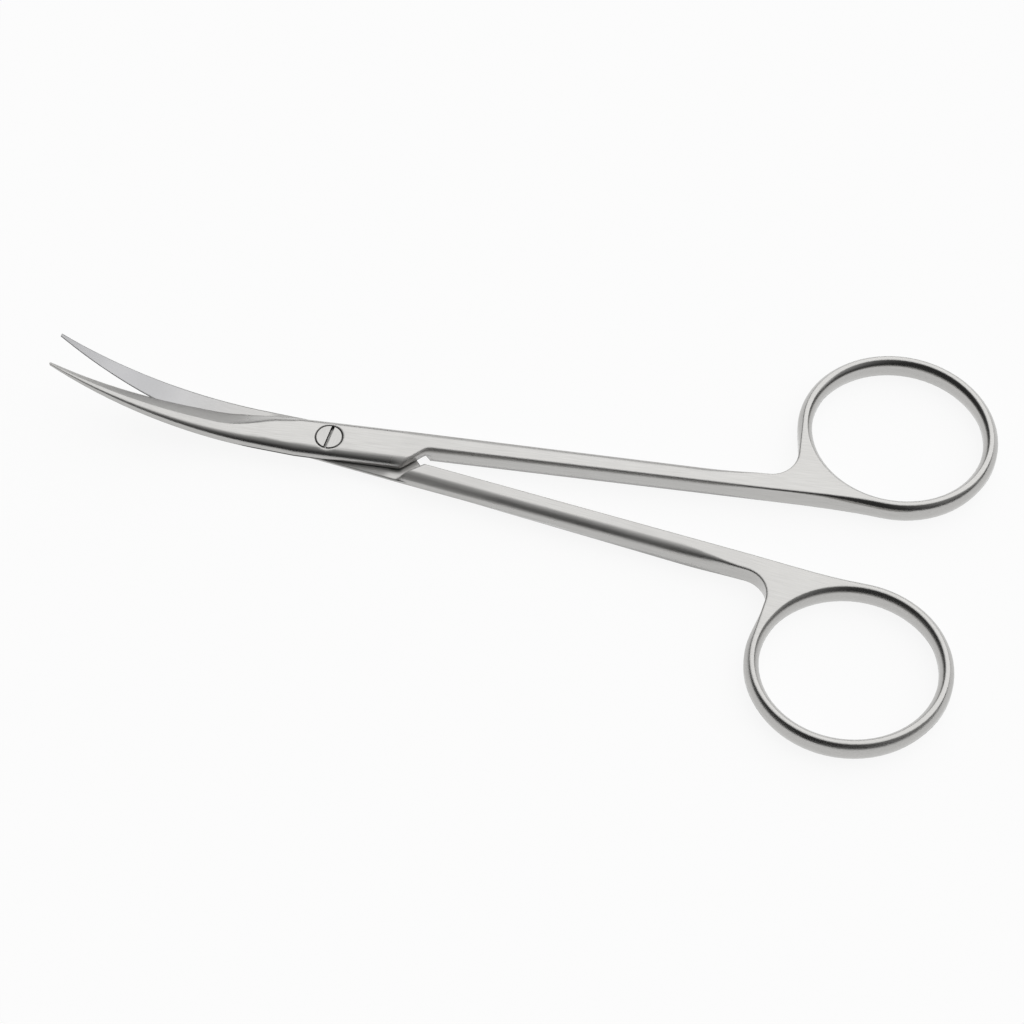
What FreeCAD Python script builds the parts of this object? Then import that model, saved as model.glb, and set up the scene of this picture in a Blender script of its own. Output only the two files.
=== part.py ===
import FreeCAD, Part
import math
import os
import Sketcher
from FreeCAD import Placement, Rotation, Vector

# Curved dissecting scissors with a lap joint and a slotted pivot screw.
# Origin on the pivot axis in the plane the scissors lie on, +X towards the finger rings, +Z up.
# Each half is drawn in a frame of its own: x runs along the inner edge of its shank, from the pivot
# towards the ring, and y points away from the other half. The halves are then turned to the rest opening.

os.makedirs("parts", exist_ok=True)
doc = FreeCAD.newDocument("dissecting_scissors")
sheet = doc.addObject("Spreadsheet::Sheet", "sizes")

SIZES = [
    # whole tool
    ("body_thick", 3.0, "thickness of shanks, rings and closed joint"),
    ("rest_opening", 10.0, "angle between the inner edges of the shanks as laid down, degrees"),
    ("lap_gap", 0.04, "running gap between the mating faces of the halves"),
    ("round_width", 1.1, "width of the rounded edges on top of plate, shank and blade root"),
    ("round_drop", 0.7, "height of those rounded edges"),
    ("edge_break", 0.15, "width of the broken edges along heel, inner edge and web"),
    ("edge_drop", 0.25, "height of those broken edges"),
    ("low_drop", 1.1, "height of the bevels underneath"),
    # blades
    ("blade_reach", 34.1, "pivot to blade tip, along the half"),
    ("blade_flat", 8.9, "pivot to the start of the upward curve"),
    ("blade_rise", 9.2, "rise of the mating face at the tip"),
    ("tip_thick", 0.35, "blade thickness at the tip"),
    ("tip_width", 0.45, "blade width at the tip"),
    ("tip_offset", 0.77, "middle of the tip from the line of the inner edge"),
    ("edge_straight", 5.0, "pivot to where the cutting edge starts to curve in"),
    ("spine_belly", 0.15, "outward bow of the spine between joint and tip"),
    ("grind_start", 5.5, "pivot to the start of the ground cutting bevel"),
    ("grind_full", 12.0, "pivot to where the cutting bevel takes the whole thickness"),
    ("grind_share", 0.69, "cutting bevel at the joint, as a share of the width the rounded spine leaves"),
    ("grind_tip_share", 0.8, "the same share at the tip"),
    ("spine_round_tip", 0.07, "width of the rounded spine at the tip"),
    ("spine_drop_tip", 0.12, "height of the rounded spine at the tip"),
    # joint
    ("joint_root", 4.0, "pivot to where the blade leaves the joint plate"),
    ("root_depth", 2.45, "joint plate below the inner edge line, at the blade root"),
    ("heel_depth", 2.62, "joint plate below the inner edge line, at the heel corner"),
    ("heel_reach", 8.1, "pivot to the slanted heel of the joint plate, square to it"),
    ("heel_angle", 42.0, "slant of the heel from the inner edge, degrees"),
    ("heel_round", 0.35, "rounding of the heel corner"),
    ("heel_fillet", 1.6, "hollow fillet from the heel to the shank"),
    ("plate_bevel_low", 0.8, "width of the bevel underneath the joint plate"),
    ("step_reach", 8.9, "pivot to the step of the lap, square to it"),
    ("step_angle", 45.0, "slant of the step from the inner edge, degrees"),
    ("step_round", 0.7, "hollow radius at the foot of the step"),
    # shank
    ("shank_start", 9.85, "pivot to where the joint plate turns into the shank"),
    ("shank_width", 2.55, "shank width at the joint"),
    ("shank_width_web", 2.3, "shank width where the web starts"),
    ("shank_bevel_low", 0.05, "width of the bevel underneath the shank, near the web"),
    ("round_fade", 8.0, "length over which the rounded outer edge fades into the web"),
    # ring
    ("ring_reach", 68.9, "pivot to ring centre, along the half"),
    ("ring_offset", 10.73, "inner edge line to ring centre"),
    ("ring_long", 11.45, "half length of the ring, to the middle of its wire"),
    ("ring_short", 10.56, "half width of the ring, to the middle of its wire"),
    ("ring_turn", 12.1, "turn of the ring towards the other half, degrees"),
    ("ring_wire", 1.78, "width of the ring wire"),
    ("ring_round", 0.65, "width of the rounded upper edges of the ring wire"),
    ("ring_round_drop", 1.25, "height of those rounded edges"),
    ("ring_bevel_low", 0.35, "width of the bevels underneath the ring wire"),
    ("swell_turn", 6.0, "slope at which the inner edge swells into the ring, degrees"),
    ("web_depth", 11.75, "ring centre to the hollow side of the web, along the half"),
    ("web_fillet", 3.35, "hollow fillet from the shank to the ring"),
    # screw
    ("head_width", 3.3, "diameter of the screw head"),
    ("head_depth", 0.85, "depth of the screw head"),
    ("head_edge", 0.1, "broken edge of the screw head and of its seat"),
    ("shoulder_width", 2.6, "diameter of the bearing shoulder"),
    ("thread_width", 2.0, "diameter of the threaded end"),
    ("pivot_play", 0.03, "radial running clearance on head and shoulder"),
    ("head_play", 0.03, "clearance under the screw head"),
    ("slot_width", 0.38, "width of the driver slot"),
    ("slot_depth", 0.6, "depth of the driver slot"),
    ("slot_turn", 85.0, "direction of the slot, degrees from +X"),
]
for row, (name, value, note) in enumerate(SIZES, start=1):
    sheet.set("A%d" % row, str(value))
    sheet.setAlias("A%d" % row, name)
    sheet.set("B%d" % row, note)
doc.recompute()

# How far tools reach past what they cut, the share of it left at the blade tip, how many sections shape
# a blade, the shares of its height at which a rounded edge is drawn, and the two layers of the lap
OVERCUT = 0.1
RUN_OUT_SHARE = 0.3
SECTIONS = 11
ROUND_STEPS = (0, 0.07, 0.28, 0.6, 1)
UPPER, LOWER = 1, -1


def size(name):
    return float(getattr(sheet, name))


def line(p, q):
    return Part.LineSegment(p, q).toShape()


def arc(p, middle, q):
    return Part.Arc(p, middle, q).toShape()


def bend(p, p_way, q, q_way):
    """A smooth curve that leaves p along p_way and arrives at q along q_way."""
    pull = (q - p).Length / 3
    curve = Part.BezierCurve()
    curve.setPoles([p, p + p_way * pull, q - q_way * pull, q])
    return curve.toShape()


def between(first, last, share):
    return first * (1 - share) + last * share


# Edge profiles: how far an outline is drawn in at a depth below the face
def rounded(width, drop, depth):
    """A rounding that runs smoothly out of the face and ends in a crisp edge on the wall."""
    radius = (width ** 2 + drop ** 2) / (2 * drop)
    if depth >= drop:
        return 0
    return width - math.sqrt(radius ** 2 - (radius - depth) ** 2)


def eased(width, drop, depth):
    """A rounding that starts with a crisp edge on the face and runs smoothly into the wall."""
    return width * (1 - min(1, depth / drop)) ** 2


# The ring is an ellipse; its outlines differ by how far they are drawn in from the outer wall
def ring_axes(inset):
    reach = size("ring_wire") / 2 - inset
    return size("ring_long") + reach, size("ring_short") + reach


def ring_place(z):
    centre = Vector(size("ring_reach"), size("ring_offset"), z)
    return Placement(centre, Rotation(-size("ring_turn"), 0, 0))


def ring_point(angle, inset, z):
    """A point of the ring outline and its direction there, at an angle of the ellipse."""
    a, b = ring_axes(inset)
    place = ring_place(z)
    point = place.multVec(Vector(a * math.cos(angle), b * math.sin(angle), 0))
    way = place.Rotation.multVec(Vector(-a * math.sin(angle), b * math.cos(angle), 0))
    return point, way.normalize()


def ring_angle(degrees):
    """Angle of the ellipse at which its outer outline runs in the given direction."""
    a, b = ring_axes(0)
    way = math.radians(degrees + size("ring_turn"))
    return math.atan2(-b * math.cos(way), a * math.sin(way)) % (2 * math.pi)


def ring_arc(start, end, inset, z):
    a, b = ring_axes(inset)
    place = ring_place(z)
    if b > a:
        # the longer axis of an ellipse comes first, so one that is wider than long is drawn a quarter turn on
        quarter = math.pi / 2
        a, b, start, end = b, a, start - quarter, end - quarter
        place = place.multiply(Placement(Vector(0, 0, 0), Rotation(math.degrees(quarter), 0, 0)))
    edge = Part.ArcOfEllipse(Part.Ellipse(Vector(0, 0, 0), a, b), start, end).toShape()
    edge.Placement = place
    return edge


# Plan outline of joint plate, shank and ring
def outline(z, plate, side, web_side, edge, ring):
    """The closed outline at height z, drawn in by the given widths along plate, shank, edges and ring."""
    fall = math.radians(size("heel_angle"))
    along = Vector(math.cos(fall), math.sin(fall), 0)
    square = Vector(math.sin(fall), -math.cos(fall), 0)
    ahead = Vector(1, 0, 0)

    root = Vector(-size("joint_root"), plate - size("root_depth"), z)
    side_root = Vector(-size("joint_root"), size("shank_width") - side, z)

    heel_line = size("heel_reach") - edge
    low = plate - size("heel_depth")
    corner = Vector((heel_line - low * square.y) / square.x, low, z)
    spine_way = (corner - root).normalize()
    corner_in = corner - spine_way * size("heel_round")
    corner_out = corner + along * size("heel_round")

    throat = Vector((heel_line - edge * square.y) / square.x, edge, z)
    hollow = size("heel_fillet") * math.tan(fall / 2)
    throat_in = throat - along * hollow
    throat_out = throat + ahead * hollow

    fillet = size("web_fillet") + edge
    fillet_x = size("ring_reach") - size("web_depth") - size("web_fillet")
    fillet_centre = Vector(fillet_x, size("shank_width_web") + size("web_fillet"), z)
    web_low = fillet_centre - Vector(0, fillet, 0)
    web_middle = fillet_centre + Vector(1, -1, 0).normalize() * fillet
    web_top = fillet_centre + Vector(fillet, 0, 0)
    swell = Vector(fillet_x, edge, z)

    swell_end = ring_angle(-size("swell_turn"))
    web_start = ring_angle(-90)
    if web_start < swell_end:
        web_start += 2 * math.pi
    ring_in, ring_in_way = ring_point(swell_end, ring, z)
    ring_out, ring_out_way = ring_point(web_start, ring, z)

    narrowing = (size("shank_width") - size("shank_width_web")) / (fillet_x - size("shank_start"))
    fade_width = size("shank_width_web") + narrowing * size("round_fade")
    fade = Vector(fillet_x - size("round_fade"), fade_width - web_side, z)
    plate_end = Vector(size("shank_start"), size("shank_width") - side, z)

    return Part.Wire([
        line(root, corner_in),
        bend(corner_in, spine_way, corner_out, along),
        line(corner_out, throat_in),
        bend(throat_in, along, throat_out, ahead),
        line(throat_out, swell),
        bend(swell, ahead, ring_in, ring_in_way),
        ring_arc(swell_end, web_start, ring, z),
        bend(ring_out, ring_out_way, web_top, Vector(0, -1, 0)),
        arc(web_top, web_middle, web_low),
        bend(web_low, -ahead, fade, (plate_end - fade).normalize()),
        line(fade, plate_end),
        line(plate_end, side_root),
        line(side_root, root),
    ])


def skinned(levels):
    """A solid skinned with ruled faces between outlines of like edges, one above the other."""
    faces = [Part.Face(levels[0]), Part.Face(levels[-1])]
    for low, high in zip(levels, levels[1:]):
        for below, above in zip(low.OrderedEdges, high.OrderedEdges):
            faces.append(Part.makeRuledSurface(below, above))
    shell = Part.makeShell(faces)
    shell.sewShape()
    solid = Part.makeSolid(Part.Shell(shell.Faces))
    if solid.Volume < 0:
        solid.reverse()
    return solid


def upper_depths():
    """Depths below the upper face at which the outlines of the handle are drawn."""
    round_drop = size("round_drop")
    ring_drop = size("ring_round_drop")
    return [round_drop * step for step in ROUND_STEPS] + [(round_drop + ring_drop) / 2, ring_drop]


def handle_bar():
    """Joint plate, shank and ring as one bar with shaped edges, before the lap is milled."""
    levels = [
        outline(0, size("plate_bevel_low"), size("plate_bevel_low"), size("shank_bevel_low"),
                size("edge_break"), size("ring_bevel_low")),
        outline(size("low_drop"), 0, 0, 0, 0, 0),
    ]
    for depth in reversed(upper_depths()):
        side = rounded(size("round_width"), size("round_drop"), depth)
        edge = eased(size("edge_break"), size("edge_drop"), depth)
        ring = eased(size("ring_round"), size("ring_round_drop"), depth)
        levels.append(outline(size("body_thick") - depth, side, side, side, edge, ring))
    return skinned(levels)


def finger_hole():
    """The space inside the finger ring, widened towards both faces."""
    wire = size("ring_wire")
    levels = [(0, wire - size("ring_bevel_low")), (size("low_drop"), wire)]
    for depth in reversed(upper_depths()):
        widening = eased(size("ring_round"), size("ring_round_drop"), depth)
        levels.append((size("body_thick") - depth, wire - widening))
    return skinned([Part.Wire([ring_arc(0, 2 * math.pi, inset, z)]) for z, inset in levels])


# The blades: both mating faces are one surface turned about the pivot axis, so they stay apart as they swing
def mating_height(layer):
    return (size("body_thick") + layer * size("lap_gap")) / 2


def rise_at_tip(layer, back):
    """Rise of a face at the tip: the mating face, or the back, which closes in as the blade thins."""
    plate = (size("body_thick") - size("lap_gap")) / 2
    return size("blade_rise") - (layer * (plate - size("tip_thick")) if back else 0)


def risen(distance, rise):
    """Height that an arc has gained at a distance from the pivot, when it gains rise at the tip."""
    run = size("blade_reach") - size("blade_flat")
    radius = (run ** 2 + rise ** 2) / (2 * rise)
    gone = max(0.0, distance - size("blade_flat"))
    return radius - math.sqrt(radius ** 2 - gone ** 2)


def edge_side(distance):
    """Plan distance of the cutting edge from the inner edge line: straight, then an arc in to the tip."""
    run = size("blade_reach") - size("edge_straight")
    drop = size("shank_width") - size("tip_offset") - size("tip_width") / 2
    radius = (run ** 2 + drop ** 2) / (2 * drop)
    along = max(0.0, distance - size("edge_straight"))
    return size("shank_width") - (radius - math.sqrt(radius ** 2 - along ** 2))


def spine_side(distance, share):
    """Plan distance of the spine from the inner edge line: a bowed line from joint to tip."""
    chord = between(-size("root_depth"), size("tip_offset") - size("tip_width") / 2, share)
    return chord - size("spine_belly") * 4 * share * (1 - share)


def run_out(points, share):
    """Carries an edge profile on above the face, by its first step or less, so that the dish trims it."""
    (width, depth), (next_width, next_depth) = points[:2]
    on = between(1, RUN_OUT_SHARE, share)
    return [(width + on * (width - next_width), depth + on * (depth - next_depth))] + points[1:]


def blade_section(layer, distance):
    """Outline of the blade across its length: ground bevel, back, rounded spine and spine wall."""
    share = (distance - size("joint_root")) / (size("blade_reach") - size("joint_root"))
    ground = (distance - size("grind_start")) / (size("grind_full") - size("grind_start"))
    ground = min(1.0, max(0.0, ground))
    edge = edge_side(distance)
    spine = spine_side(distance, share)

    def face_height(y):
        return mating_height(layer) + risen(math.hypot(distance, y), rise_at_tip(layer, False))

    def back_height(y):
        back = size("body_thick") if layer == UPPER else 0
        return back + risen(math.hypot(distance, y), rise_at_tip(layer, True))

    thick = layer * (back_height(edge) - face_height(edge))
    spine_width = between(size("round_width"), size("spine_round_tip"), share)
    spine_drop = between(size("round_drop"), size("spine_drop_tip"), share)
    grind = between(size("grind_share"), size("grind_tip_share"), share) * (edge - spine - spine_width)
    past = (thick + OVERCUT) / thick
    cutting = [(between(rounded(size("round_width"), size("round_drop"), step * size("round_drop")),
                        grind * (1 - step * past), ground),
                step * between(size("round_drop"), thick * past, ground)) for step in ROUND_STEPS]
    back = [(rounded(spine_width, spine_drop, step * spine_drop), step * spine_drop) for step in ROUND_STEPS]

    outer = [(edge - inset, depth) for inset, depth in run_out(cutting, share)]
    inner = [(spine + inset, depth) for inset, depth in run_out(back, share)]
    corners = [(y, back_height(y) - layer * depth) for y, depth in outer[::-1] + inner]
    corners += [(y, face_height(y) - 2 * layer * OVERCUT) for y in (spine, outer[-1][0])]
    points = [Vector(-distance, y, z) for y, z in corners]
    return Part.makePolygon(points + points[:1])


def blade_bar(layer):
    """The blade's plan, bevels and spine as one bar, lofted through its sections."""
    start = size("joint_root")
    step = (size("blade_reach") - start) / (SECTIONS - 1)
    return Part.makeLoft([blade_section(layer, start + step * i) for i in range(SECTIONS)], True, False)


# Objects of the document, with their sizes bound to the sheet
MATING = {layer: "(sizes.body_thick + %d * sizes.lap_gap) / 2" % layer for layer in (UPPER, LOWER)}


def solid(name, shape):
    piece = doc.addObject("Part::Feature", name)
    piece.Shape = shape
    return piece


def bound(kind, name, expressions):
    """An object of the given kind whose properties are expressions of the sheet."""
    piece = doc.addObject(kind, name)
    for key, expression in expressions.items():
        piece.setExpression(key, expression)
    return piece


def merged(kind, name, pieces):
    """A union (Part::MultiFuse) or a common part (Part::MultiCommon) of several pieces."""
    piece = doc.addObject(kind, name)
    piece.Shapes = pieces
    return piece


def cut(name, base, tool):
    piece = doc.addObject("Part::Cut", name)
    piece.Base = base
    piece.Tool = tool
    piece.Refine = True
    return piece


def turn_about_pivot(piece, angle):
    piece.Placement = Placement(Vector(0, 0, 0), Rotation(Vector(0, 0, 1), 1))
    piece.setExpression("Placement.Rotation.Angle", angle)


def tie(sketch, edge, spot, across, up):
    """Sets a point of a sketch from expressions of the sheet; None leaves that coordinate free."""
    for kind, expression in (("DistanceX", across), ("DistanceY", up)):
        if expression:
            value = sketch.evalExpression(expression)
            number = sketch.addConstraint(Sketcher.Constraint(kind, -1, 1, edge, spot, value))
            sketch.setExpression("Constraints[%d]" % number, expression)


def join(sketch, edge, spot, other, other_spot):
    sketch.addConstraint(Sketcher.Constraint("Coincident", edge, spot, other, other_spot))


def polygon(sketch, corners):
    """Closes straight edges through corners whose two coordinates are expressions of the sheet."""
    points = [Vector(*[float(sketch.evalExpression(part)) for part in corner], 0) for corner in corners]
    count = len(corners)
    for i in range(count):
        sketch.addGeometry(Part.LineSegment(points[i], points[(i + 1) % count]), False)
    for i in range(count):
        join(sketch, i, 2, (i + 1) % count, 1)
        tie(sketch, i, 1, *corners[i])


def lap_waste(name, layer):
    """What is milled away at the joint: two boxes up to the step and the round hollow at its foot."""
    across = {"Width": "sizes.blade_reach", "Placement.Base.x": "-sizes.blade_reach",
              "Placement.Base.y": "-sizes.blade_reach / 2"}
    below = layer == UPPER
    base = MATING[layer] + (" - sizes.body_thick" if below else "")
    raised = base if below else base + " + sizes.step_round"
    to_mating_face = bound("Part::Box", name + "_to_face", {
        **across, "Length": "sizes.blade_reach + sizes.step_reach - sizes.step_round",
        "Height": "sizes.body_thick", "Placement.Base.z": base})
    to_step = bound("Part::Box", name + "_to_step", {
        **across, "Length": "sizes.blade_reach + sizes.step_reach",
        "Height": "sizes.body_thick - sizes.step_round", "Placement.Base.z": raised})
    foot = doc.addObject("Part::Cylinder", name + "_foot")
    foot.Placement = Placement(Vector(0, 0, 0), Rotation(Vector(1, 0, 0), -90))
    for key, expression in {
        "Radius": "sizes.step_round", "Height": "sizes.blade_reach",
        "Placement.Base.x": "sizes.step_reach - sizes.step_round",
        "Placement.Base.y": "-sizes.blade_reach / 2",
        "Placement.Base.z": "%s - %d * sizes.step_round" % (MATING[layer], layer),
    }.items():
        foot.setExpression(key, expression)
    waste = merged("Part::MultiFuse", name, [to_mating_face, to_step, foot])
    turn_about_pivot(waste, "sizes.step_angle")
    return waste


def blade_dish(name, layer):
    """The curved dish of metal, thinner towards the tip, that one blade is cut from."""
    sketch = doc.addObject("Sketcher::SketchObject", name + "_profile")
    sketch.Placement = Placement(Vector(0, 0, 0), Rotation(Vector(1, 0, 0), 90))
    flat = size("blade_flat")
    far = size("blade_reach") + size("tip_thick")
    run = "(sizes.blade_reach - sizes.blade_flat)"
    thinning = "((sizes.body_thick - sizes.lap_gap) / 2 - sizes.tip_thick)"
    faces = [
        (MATING[layer], "sizes.blade_rise"),
        ("sizes.body_thick" if layer == UPPER else "0", "(sizes.blade_rise - %d * %s)" % (layer, thinning)),
    ]
    for level, rise in faces:
        z = float(sketch.evalExpression(level))
        gain = float(sketch.evalExpression(rise))
        on_arc = [Vector(x, z + risen(x, gain), 0) for x in (flat, (flat + far) / 2, far)]
        straight = sketch.addGeometry(Part.LineSegment(Vector(0, z, 0), on_arc[0]), False)
        curve = sketch.addGeometry(Part.Arc(*on_arc), False)
        tie(sketch, straight, 1, "0", level)
        tie(sketch, straight, 2, "sizes.blade_flat", level)
        join(sketch, straight, 2, curve, 1)
        centre = "%s + (%s ^ 2 + %s ^ 2) / (2 * %s)" % (level, run, rise, rise)
        tie(sketch, curve, 3, "sizes.blade_flat", centre)
        tie(sketch, curve, 2, "sizes.blade_reach + sizes.tip_thick", None)
    for geometry, spot in ((0, 1), (1, 2)):
        ends = [sketch.getPoint(geometry + 2 * face, spot) for face in (0, 1)]
        closing = sketch.addGeometry(Part.LineSegment(*ends), False)
        for face in (0, 1):
            join(sketch, closing, face + 1, geometry + 2 * face, spot)
    dish = doc.addObject("Part::Revolution", name)
    dish.Source = sketch
    dish.Axis = Vector(0, 0, 1)
    dish.Angle = 360
    dish.Solid = True
    return dish


def forged_half(name, layer):
    """One half from blade tip to finger ring, without its holes at the pivot."""
    waste = merged("Part::MultiFuse", name + "_waste", [
        solid(name + "_finger_hole", finger_hole()),
        lap_waste(name + "_lap", layer),
    ])
    handle = cut(name + "_handle", solid(name + "_bar", handle_bar()), waste)
    blade = merged("Part::MultiCommon", name + "_blade", [
        solid(name + "_blade_bar", blade_bar(layer)),
        blade_dish(name + "_blade_dish", layer),
    ])
    return merged("Part::MultiFuse", name + "_forging", [handle, blade])


def round_tool(name, radius, height, bottom):
    return bound("Part::Cylinder", name, {"Radius": radius, "Height": height, "Placement.Base.z": bottom})


# The half on top at the joint, with the seat of the screw head
SEAT = "sizes.head_width / 2 + sizes.pivot_play"
pivot_hole = merged("Part::MultiFuse", "pivot_hole", [
    round_tool("shoulder_bore", "sizes.shoulder_width / 2 + sizes.pivot_play", "sizes.body_thick", "0"),
    round_tool("head_seat", SEAT, "sizes.head_depth + sizes.head_play",
               "sizes.body_thick - sizes.head_depth - sizes.head_play"),
    bound("Part::Cone", "seat_edge", {
        "Radius1": SEAT, "Radius2": SEAT + " + sizes.head_edge", "Height": "sizes.head_edge",
        "Placement.Base.z": "sizes.body_thick - sizes.head_edge"}),
])
screw_side = cut("screw_side_half", forged_half("screw_side", UPPER), pivot_hole)
turn_about_pivot(screw_side, "sizes.rest_opening / 2")

# The half underneath at the joint, drawn like the other and mirrored, with the tapped hole
thread_hole = round_tool("thread_hole", "sizes.thread_width / 2", "sizes.body_thick", "0")
threaded_side = doc.addObject("Part::Mirroring", "threaded_half")
threaded_side.Source = cut("threaded_drawn", forged_half("threaded", LOWER), thread_hole)
threaded_side.Normal = Vector(0, 1, 0)
turn_about_pivot(threaded_side, "-sizes.rest_opening / 2")


# The screw: a turned profile with a driver slot
def body_sketch(body, name, role):
    sketch = body.newObject("Sketcher::SketchObject", name)
    plane = [item for item in body.Origin.OriginFeatures if item.Role == role][0]
    sketch.AttachmentSupport = [(plane, "")]
    sketch.MapMode = "FlatFace"
    return sketch


screw = doc.addObject("PartDesign::Body", "pivot_screw")
profile = body_sketch(screw, "screw_profile", "XZ_Plane")
head_under = "sizes.body_thick - sizes.head_depth"
polygon(profile, [
    ("0", "0"),
    ("sizes.thread_width / 2 - sizes.head_edge", "0"),
    ("sizes.thread_width / 2", "sizes.head_edge"),
    ("sizes.thread_width / 2", MATING[LOWER]),
    ("sizes.shoulder_width / 2", MATING[LOWER]),
    ("sizes.shoulder_width / 2", head_under),
    ("sizes.head_width / 2", head_under),
    ("sizes.head_width / 2", "sizes.body_thick - sizes.head_edge"),
    ("sizes.head_width / 2 - sizes.head_edge", "sizes.body_thick"),
    ("0", "sizes.body_thick"),
])
turning = screw.newObject("PartDesign::Revolution", "screw_turning")
turning.Profile = profile
turning.ReferenceAxis = (profile, ["V_Axis"])
turning.Angle = 360
doc.recompute()

slot = body_sketch(screw, "slot_outline", "XY_Plane")
slot.setExpression("AttachmentOffset.Base.z", "sizes.body_thick")
polygon(slot, [
    ("-sizes.head_width", "-sizes.slot_width / 2"), ("sizes.head_width", "-sizes.slot_width / 2"),
    ("sizes.head_width", "sizes.slot_width / 2"), ("-sizes.head_width", "sizes.slot_width / 2"),
])
slotting = screw.newObject("PartDesign::Pocket", "driver_slot")
slotting.Profile = slot
slotting.setExpression("Length", "sizes.slot_depth")
doc.recompute()
if slotting.Shape.Volume >= turning.Shape.Volume:
    raise RuntimeError("the driver slot cuts nothing")
turn_about_pivot(screw, "sizes.slot_turn")

doc.recompute()

NODES = [screw_side, threaded_side, screw]
for item in doc.Objects:
    if "Invalid" in item.State or "Error" in item.State:
        raise RuntimeError("%s did not build" % item.Name)
    if item.isDerivedFrom("Part::Feature") and item.Shape.Faces and not item.Shape.Solids:
        raise RuntimeError("%s holds no solid" % item.Name)
    if item.TypeId in ("Part::MultiCommon", "Part::MultiFuse", "Part::Cut") and not item.Shape.Solids:
        raise RuntimeError("%s is empty" % item.Name)
for node in NODES:
    if node.Shape.isNull() or not node.Shape.isValid() or len(node.Shape.Solids) != 1:
        raise RuntimeError("%s is not one sound solid" % node.Label)
for node in NODES:
    node.Shape.exportStep("parts/%s.step" % node.Label)
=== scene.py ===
import math
from types import SimpleNamespace

import bmesh
import bpy
from mathutils import Matrix, Vector


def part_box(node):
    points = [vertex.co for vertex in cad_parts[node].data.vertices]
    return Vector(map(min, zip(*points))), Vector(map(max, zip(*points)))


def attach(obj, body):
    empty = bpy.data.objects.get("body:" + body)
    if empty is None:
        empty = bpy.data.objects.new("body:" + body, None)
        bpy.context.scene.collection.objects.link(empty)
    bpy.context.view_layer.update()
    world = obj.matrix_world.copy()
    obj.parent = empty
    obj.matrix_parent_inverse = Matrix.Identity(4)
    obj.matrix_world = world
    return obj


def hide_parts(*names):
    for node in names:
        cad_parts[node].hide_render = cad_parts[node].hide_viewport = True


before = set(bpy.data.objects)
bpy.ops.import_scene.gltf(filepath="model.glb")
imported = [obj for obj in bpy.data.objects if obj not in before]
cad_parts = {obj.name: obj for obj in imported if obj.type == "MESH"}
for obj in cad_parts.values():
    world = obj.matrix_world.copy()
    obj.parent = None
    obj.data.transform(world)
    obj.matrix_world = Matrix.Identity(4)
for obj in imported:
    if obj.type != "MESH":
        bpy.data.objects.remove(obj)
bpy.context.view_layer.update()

MM = 0.001

# Sizes of the scissors that the finishes follow, in millimetres and degrees
screw_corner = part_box("pivot_screw")[1]
HEAD_RADIUS = screw_corner.x / MM
JOINT_TOP = screw_corner.z / MM
LAP_HEIGHT = JOINT_TOP / 2
SLOT_DEPTH = 0.6
SLOT_TURN = 85.0
REST_OPENING = 10.0

# Zones along the scissors, in millimetres: where each starts, and where it is full
# the blades lie towards -X and the rings towards +X
BLADES = (-6.0, -26.0)
BEHIND_BLADES = (-14.0, -4.0)
PAST_STEP = (8.0, 10.0)
NEAR_STEP = (30.0, 10.0)
BEFORE_WEB = (54.0, 46.0)
RINGS = (46.0, 58.0)

# Zones by the distance from the pivot axis, in millimetres
OUTSIDE_HEAD_FACE = (HEAD_RADIUS - 0.35, HEAD_RADIUS - 0.15)
INSIDE_GROOVE_RIM = (HEAD_RADIUS + 0.3, HEAD_RADIUS + 0.15)
LAPPED_REACH = (9.0, 7.5)
SEAM_REACH = (11.5, 10.5)

# Zones by height above the face that the scissors lie on, in millimetres
ABOVE_SLOT_FLOOR = (JOINT_TOP - SLOT_DEPTH, JOINT_TOP - SLOT_DEPTH + 0.2)
LOW_FACES = (LAP_HEIGHT + 0.7, LAP_HEIGHT + 0.1)
ABOVE_LAP = (LAP_HEIGHT, LAP_HEIGHT + 0.04)
CLOSE_TO_LAP = (LAP_HEIGHT + 0.3, LAP_HEIGHT + 0.2)

# Zones by the way a face looks: 1 is straight along an axis, 0 is square to it
LEVEL_FACES = (0.9, 0.98)
SLANTED_FACES = (0.85, 0.6)
UPRIGHT_FACES = (0.4, 0.15)
BELOW_EDGE_TOP = (0.99, 0.93)
ABOVE_EDGE_FOOT = (0.15, 0.4)
INNER_FACES = (0.6, 0.8)
SLOT_WALL = (0.3, 0.6)

# Grinding marks, along and across the grain, in millimetres
# real lines are 0.02 to 0.05 mm apart; they are drawn coarser than that, so that they show
HALF_GRAIN = (4.0, 0.12)
SCREW_GRAIN = (1.5, 0.1)
STREAK_STRENGTH = 0.12
STREAK_RELIEF = 0.01
# hand polishing leaves clouds about as wide as this, and their noise is stretched to full contrast
CLOUD_WIDTH = 6.0
CLOUD_RANGE = (0.3, 0.7)

# Colours of the steel's streaks, of a blade's cross ground inner face and of painted shade with some grime
STEEL_DARK = "#AAA9A7"
STEEL_PALE = "#C4C3C1"
INNER_FACE_TONE = "#B0B0B2"
INNER_FACE_COVER = 0.85
# this dark tone is painted shade in the groove round the screw, on one wall of its slot and in the seam where
# the lap ends; in the groove and the seam it also stands for real grime and oil
SHADE_AND_GRIME_TONE = "#1E1D1C"
SHADE_AND_GRIME_COVER = 0.85

# Roughness of the brightest and the dullest clouds, and what each zone adds to it
SCREW_SIDE_ROUGHNESS = (0.2, 0.27)
THREADED_ROUGHNESS = (0.25, 0.32)
SCREW_ROUGHNESS = (0.22, 0.3)
BLADE_SATIN = 0.15
RING_POLISH = 0.05
SHANK_EDGE_SATIN = 0.14
STEP_SATIN = 0.22
LAPPED_SATIN = 0.28
SHADE_AND_GRIME_ROUGHNESS = 0.6

# Radius to which edges are softened by polishing, on walls and on level faces, in millimetres
HALF_SOFTNESS = (0.6, 0.35)
SCREW_SOFTNESS = (0.1, 0.1)
BLADE_SOFTNESS = 0.2
# the shanks' walls are softer by this, and the rings less soft by this share
SHANK_WALL_BELLY = 1.0
RING_CRISPNESS = 0.6

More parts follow.
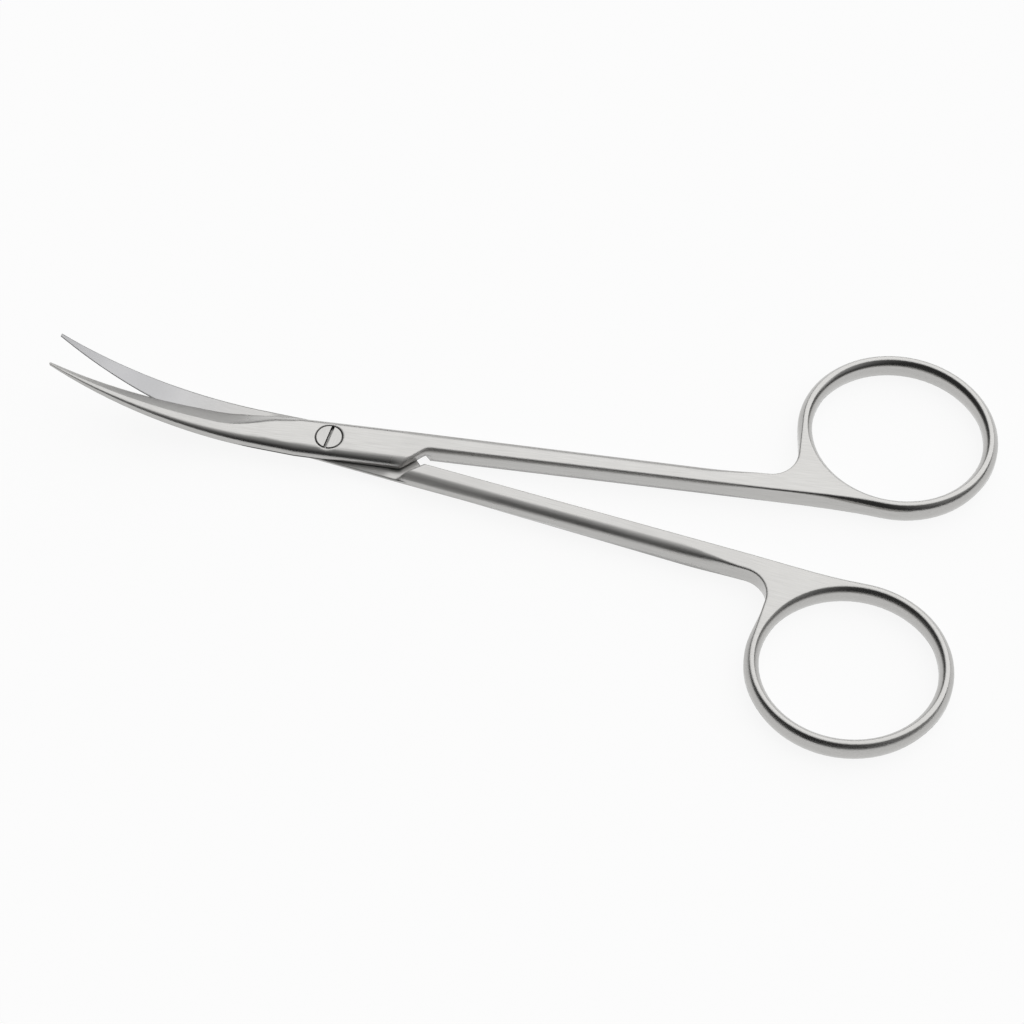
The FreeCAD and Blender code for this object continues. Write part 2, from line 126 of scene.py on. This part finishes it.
# Smooth shading: crisp where faces meet at more than this angle, or where a face that is level ends
MERGE = 0.0005 * MM
CRISP_ANGLE = 24.0
LEVEL = 0.99999

# Camera: the photograph's viewing angle, found from the outlines of the scissors
VIEW_ELEVATION = 58.17
VIEW_AZIMUTH = 14.81
VIEW_ROLL = -1.48
AIM = Vector((24.4, -5.5, 3.0)) * MM
DISTANCE = 378.8 * MM
SENSOR = 36.0
FOCAL_PIXELS = 3140.9
PHOTO_PIXELS = 1024
NEAREST = 10 * MM

# Light: a very broad soft box behind the scissors and to their ring end, in a dark room
SOFT_BOX_WAY = Vector((0.45, 0.8, 0.4)).normalized()
SOFT_BOX = 1.04
SPILL = 0.4
DARK_ROOM = 0.04
# zones by the cosine of the angle to the middle of the box: the box itself, and its spill on the walls
SOFT_BOX_EDGE = (0.3, 0.62)
SPILL_EDGE = (-0.6, 0.5)
# zones by height, where 0 is the horizon and 1 is overhead; the room is dark along the horizon
ABOVE_HORIZON = (0.03, 0.42)
BELOW_HORIZON = (-0.05, -0.15)

# Floor: the paper's colour in the light, the glow that keeps it white to the eye, and its size
PAPER_TONE = "#606060"
PAPER_GLOW = 0.89
PAPER_RADIUS = 4000 * MM
PAPER_SIDES = 96
PAPER_DROP = 0.02 * MM


def linear(hex_colour):
    """An sRGB hex colour as linear red, green, blue and alpha."""
    channels = [int(hex_colour[i:i + 2], 16) / 255 for i in (1, 3, 5)]
    return [c / 12.92 if c <= 0.04045 else ((c + 0.055) / 1.055) ** 2.4 for c in channels] + [1.0]


def node(tree, kind, inputs=(), **settings):
    """Adds a shader node. Settings are its own properties. An input, by name or number, is a value, a socket
    to link, or a node, which gives its first socket in use."""
    made = tree.nodes.new(kind)
    for name, value in settings.items():
        setattr(made, name, value)
    for key, value in dict(inputs).items():
        named = [socket for socket in made.inputs if socket.enabled and socket.name == key]
        socket = named[0] if named else made.inputs[key]
        if isinstance(value, bpy.types.Node):
            value = next(output for output in value.outputs if output.enabled)
        if isinstance(value, bpy.types.NodeSocket):
            tree.links.new(value, socket)
        else:
            socket.default_value = value
    return made


def zone(tree, *limits):
    """A mask: 1 where every measure is past the second of its limits, eased to 0 at the first."""
    inside = 1.0
    for measure, (start, full) in limits:
        eased = node(tree, "ShaderNodeMapRange", {
            "Value": measure, "From Min": start, "From Max": full,
        }, interpolation_type="SMOOTHSTEP")
        inside = node(tree, "ShaderNodeMath", {0: inside, 1: eased}, operation="MULTIPLY")
    return inside


def raised(tree, base, *shares):
    """A value that grows from its base by each amount where that amount's zone is full."""
    for mask, amount in shares:
        base = node(tree, "ShaderNodeMath", {0: mask, 1: amount, 2: base}, operation="MULTIPLY_ADD")
    return base


def empty_material(name):
    material = bpy.data.materials.new(name)
    material.use_nodes = True
    material.node_tree.nodes.clear()
    return material, material.node_tree


def measures(tree, spot, facing):
    """What the zones of a finish go by: where a point lies, in millimetres, and which way its face looks."""
    place = node(tree, "ShaderNodeSeparateXYZ", {"Vector": spot})
    look = node(tree, "ShaderNodeSeparateXYZ", {"Vector": facing})
    in_plan = node(tree, "ShaderNodeVectorMath", {0: spot, 1: (1, 1, 0)}, operation="MULTIPLY")
    return SimpleNamespace(
        along=place.outputs["X"],
        height=place.outputs["Z"],
        reach=node(tree, "ShaderNodeVectorMath", {0: in_plan}, operation="LENGTH"),
        to_rings=look.outputs["X"],
        up=look.outputs["Z"],
        up_or_down=node(tree, "ShaderNodeMath", {0: look.outputs["Z"]}, operation="ABSOLUTE"),
    )


def shade_and_grime_mask(tree, at):
    """Painted shade on slanted and upright faces: in the groove round the screw and in the seam where the lap
    ends, where it also stands for real grime and oil, and on one wall of the slot."""
    by_screw = ((at.reach, INSIDE_GROOVE_RIM), (at.height, ABOVE_SLOT_FLOOR))
    shaded_and_soiled = 0.0
    for limits in (
        (*by_screw, (at.reach, OUTSIDE_HEAD_FACE)),
        (*by_screw, (at.to_rings, SLOT_WALL)),
        ((at.height, ABOVE_LAP), (at.height, CLOSE_TO_LAP), (at.reach, SEAM_REACH)),
    ):
        here = zone(tree, *limits, (at.up_or_down, SLANTED_FACES))
        shaded_and_soiled = node(tree, "ShaderNodeMath", {0: shaded_and_soiled, 1: here}, operation="MAXIMUM")
    return shaded_and_soiled


def steel_colour(tree, at, streaks, shade_and_grime, inner_face):
    """Dark and pale streaks, painted shade with some grime over them, and a blade's inner face, a little
    darker and colder.
    """
    inner = zone(tree, (at.up, INNER_FACES), (at.along, BLADES))
    colour = linear(STEEL_DARK)
    for mask, cover, tone in (
        (streaks, 1.0, STEEL_PALE),
        # painted shade, with some grime, on the groove round the screw, one wall of the slot and the lap's
        # seam
        (shade_and_grime, SHADE_AND_GRIME_COVER, SHADE_AND_GRIME_TONE),
        (inner, inner_face, INNER_FACE_TONE),
    ):
        share = node(tree, "ShaderNodeMath", {0: mask, 1: cover}, operation="MULTIPLY")
        colour = node(tree, "ShaderNodeMix", {
            "Factor": share, "A": colour, "B": linear(tone),
        }, data_type="RGBA")
    return colour


def steel_roughness(tree, at, clouds, shade_and_grime, roughness):
    """Clouds of hand polishing; satin blades and shank edges, brighter rings, a dull lap, and dull where
    shade and grime are painted.
    """
    brightest, dullest = roughness
    rounded_edge = (
        (at.along, PAST_STEP), (at.along, BEFORE_WEB), (at.up, BELOW_EDGE_TOP), (at.up, ABOVE_EDGE_FOOT),
    )
    lapped_face = ((at.height, LOW_FACES), (at.up, LEVEL_FACES), (at.reach, LAPPED_REACH))
    clean = raised(
        tree, brightest,
        (zone(tree, (clouds, CLOUD_RANGE)), dullest - brightest),
        (zone(tree, (at.along, BLADES)), BLADE_SATIN),
        (zone(tree, (at.along, RINGS)), -RING_POLISH),
        (zone(tree, *rounded_edge), SHANK_EDGE_SATIN),
        (zone(tree, *rounded_edge, (at.along, NEAR_STEP)), STEP_SATIN),
        (zone(tree, *lapped_face), LAPPED_SATIN),
    )
    dull_shade_and_grime = node(tree, "ShaderNodeMath", {0: shade_and_grime, 1: SHADE_AND_GRIME_ROUGHNESS}, operation="MULTIPLY")
    return node(tree, "ShaderNodeMath", {0: clean, 1: dull_shade_and_grime}, operation="MAXIMUM")


def softened_edges(tree, at, softness):
    """Edges rounded in the shading: most on the shanks' walls, less on rings and tops, least on blades."""
    on_walls, on_level_faces = softness
    shank_walls = ((at.along, PAST_STEP), (at.along, BEFORE_WEB), (at.up_or_down, UPRIGHT_FACES))
    walls = raised(
        tree, BLADE_SOFTNESS,
        (zone(tree, (at.along, BEHIND_BLADES)), on_walls - BLADE_SOFTNESS),
        (zone(tree, (at.along, RINGS)), -RING_CRISPNESS * on_walls),
        (zone(tree, *shank_walls), SHANK_WALL_BELLY),
    )
    millimetres = node(tree, "ShaderNodeMix", {
        "Factor": zone(tree, (at.up, LEVEL_FACES)), "A": walls, "B": on_level_faces,
    }, data_type="FLOAT")
    radius = node(tree, "ShaderNodeMath", {0: millimetres, 1: MM}, operation="MULTIPLY")
    return node(tree, "ShaderNodeBevel", {"Radius": radius}, samples=8)


def ground_steel(name, turn, grain, roughness, softness, inner_face=0.0):
    """Martensitic stainless steel, ground along its length and satin finished.

    The eye sees a pale, slightly warm grey that mirrors broad light softly, with fine streaks along the
    grain, walls that grow darker towards their softened upper edge, a duller lapped face where the halves
    slide on each other, and painted shade, with some grime and oil, in that seam, in the groove round the
    screw and on one wall of its slot."""
    material, tree = empty_material(name)
    place = node(tree, "ShaderNodeTexCoord")
    spot = node(tree, "ShaderNodeVectorMath", {
        0: place.outputs["Object"], "Scale": 1 / MM,
    }, operation="SCALE")
    at = measures(tree, spot, place.outputs["Normal"])
    along, across = grain
    ground = node(tree, "ShaderNodeMapping", {
        "Vector": spot, "Rotation": (0, 0, math.radians(turn)), "Scale": (along, across, across),
    }, vector_type="TEXTURE")
    streaks = node(tree, "ShaderNodeTexNoise", {
        "Vector": ground, "Scale": 1.0, "Detail": 3.0, "Roughness": 0.6,
    })
    clouds = node(tree, "ShaderNodeTexNoise", {
        "Vector": spot, "Scale": 1 / CLOUD_WIDTH, "Detail": 2.0, "Roughness": 0.5,
    })
    # where shade is painted, with some grime and oil: the groove round the screw, one slot wall and the lap's
    # seam
    shade_and_grime = shade_and_grime_mask(tree, at)
    relief = node(tree, "ShaderNodeBump", {
        "Height": streaks, "Strength": STREAK_STRENGTH, "Distance": STREAK_RELIEF * MM,
        "Normal": softened_edges(tree, at, softness),
    })
    steel = node(tree, "ShaderNodeBsdfPrincipled", {
        "Base Color": steel_colour(tree, at, streaks, shade_and_grime, inner_face),
        "Metallic": 1.0,
        "Roughness": steel_roughness(tree, at, clouds, shade_and_grime, roughness),
        "Normal": relief,
    })
    node(tree, "ShaderNodeOutputMaterial", {"Surface": steel})
    return material


def white_paper():
    """Matt white paper, bright to the eye and in reflections, and darker only in the scissors' shadow."""
    material, tree = empty_material("white_paper")
    ray = node(tree, "ShaderNodeLightPath")
    seen = 0.0
    for kind in ("Is Camera Ray", "Is Glossy Ray", "Is Transmission Ray"):
        seen = node(tree, "ShaderNodeMath", {0: seen, 1: ray.outputs[kind]}, operation="MAXIMUM")
    matt = node(tree, "ShaderNodeBsdfDiffuse", {"Color": linear(PAPER_TONE)})
    glow = node(tree, "ShaderNodeEmission", {
        "Color": linear("#FFFFFF"), "Strength": raised(tree, 0.0, (seen, PAPER_GLOW)),
    })
    both = node(tree, "ShaderNodeAddShader", {0: matt, 1: glow})
    node(tree, "ShaderNodeOutputMaterial", {"Surface": both})
    return material


def dressed(name, body, material):
    """A smoothly shaded copy of a CAD node: merged, and crisp where faces meet at an angle or a flat ends."""
    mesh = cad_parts[name].data.copy()
    mesh.name = name + "_finished"
    shape = bmesh.new()
    shape.from_mesh(mesh)
    bmesh.ops.remove_doubles(shape, verts=shape.verts, dist=MERGE)
    shape.normal_update()
    for face in shape.faces:
        face.smooth = True
    for edge in shape.edges:
        level = [abs(face.normal.z) > LEVEL for face in edge.link_faces]
        bent = len(level) != 2 or edge.calc_face_angle(math.pi) > math.radians(CRISP_ANGLE)
        edge.smooth = not bent and level[0] == level[1]
    shape.to_mesh(mesh)
    shape.free()
    mesh.materials.clear()
    mesh.materials.append(material)
    piece = bpy.data.objects.new(name + "_finished", mesh)
    bpy.context.scene.collection.objects.link(piece)
    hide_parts(name)
    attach(piece, body)


def place_camera():
    """Looks down on the scissors from their lower ring's side, as the photograph does."""
    elevation, azimuth, roll = map(math.radians, (VIEW_ELEVATION, VIEW_AZIMUTH, VIEW_ROLL))
    away = Vector((math.sin(azimuth), -math.cos(azimuth), 0))
    back = away * math.cos(elevation) + Vector((0, 0, math.sin(elevation)))
    level = Vector((math.cos(azimuth), math.sin(azimuth), 0))
    upright = back.cross(level)
    right = level * math.cos(roll) + upright * math.sin(roll)
    up = upright * math.cos(roll) - level * math.sin(roll)
    camera = bpy.data.objects.new("camera", bpy.data.cameras.new("camera"))
    turned = Matrix((right, up, back)).transposed().to_4x4()
    camera.matrix_world = Matrix.Translation(AIM + back * DISTANCE) @ turned
    camera.data.sensor_width = SENSOR
    camera.data.sensor_fit = "HORIZONTAL"
    camera.data.lens = FOCAL_PIXELS / PHOTO_PIXELS * SENSOR
    camera.data.clip_start = NEAREST
    bpy.context.scene.collection.objects.link(camera)
    bpy.context.scene.camera = camera


def light_studio():
    """The soft box, its spill on the walls of the dark room, and below them the glow of the paper, which only
    shows in a look from underneath."""
    world = bpy.data.worlds.new("studio")
    bpy.context.scene.world = world
    world.use_nodes = True
    tree = world.node_tree
    tree.nodes.clear()
    way = node(tree, "ShaderNodeTexCoord").outputs["Generated"]
    to_box = node(tree, "ShaderNodeVectorMath", {0: way, 1: SOFT_BOX_WAY}, operation="DOT_PRODUCT")
    height = node(tree, "ShaderNodeSeparateXYZ", {"Vector": way}).outputs["Z"]
    glow = raised(
        tree, DARK_ROOM,
        (zone(tree, (to_box, SOFT_BOX_EDGE), (height, ABOVE_HORIZON)), SOFT_BOX),
        (zone(tree, (to_box, SPILL_EDGE), (height, ABOVE_HORIZON)), SPILL),
        (zone(tree, (height, BELOW_HORIZON)), PAPER_GLOW),
    )
    sky = node(tree, "ShaderNodeBackground", {"Color": linear("#FFFFFF"), "Strength": glow})
    node(tree, "ShaderNodeOutputWorld", {"Surface": sky})


def lay_paper():
    """A wide round sheet just under the scissors."""
    mesh = bpy.data.meshes.new("floor")
    shape = bmesh.new()
    bmesh.ops.create_circle(shape, cap_ends=True, segments=PAPER_SIDES, radius=PAPER_RADIUS)
    shape.to_mesh(mesh)
    shape.free()
    mesh.transform(Matrix.Translation((AIM.x, AIM.y, -PAPER_DROP)))
    mesh.materials.append(white_paper())
    floor = bpy.data.objects.new("floor", mesh)
    bpy.context.scene.collection.objects.link(floor)


# The two halves, each ground along its own shank, so that the grain is turned by half the opening
screw_side_steel = ground_steel("screw_side_half_ground_steel", REST_OPENING / 2, HALF_GRAIN,
                                SCREW_SIDE_ROUGHNESS, HALF_SOFTNESS)
dressed("screw_side_half", "screw_side", screw_side_steel)

threaded_steel = ground_steel("threaded_half_ground_steel", -REST_OPENING / 2, HALF_GRAIN,
                              THREADED_ROUGHNESS, HALF_SOFTNESS, INNER_FACE_COVER)
dressed("threaded_half", "threaded_side", threaded_steel)

# The screw's own mesh is right as it is; its turned head was ground flush, with finer lines along the slot
screw_steel = ground_steel("pivot_screw_turned_steel", SLOT_TURN, SCREW_GRAIN,
                           SCREW_ROUGHNESS, SCREW_SOFTNESS)
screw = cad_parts["pivot_screw"]
screw.data.materials.clear()
screw.data.materials.append(screw_steel)

place_camera()
light_studio()
lay_paper()
bpy.context.scene.view_settings.view_transform = "Standard"
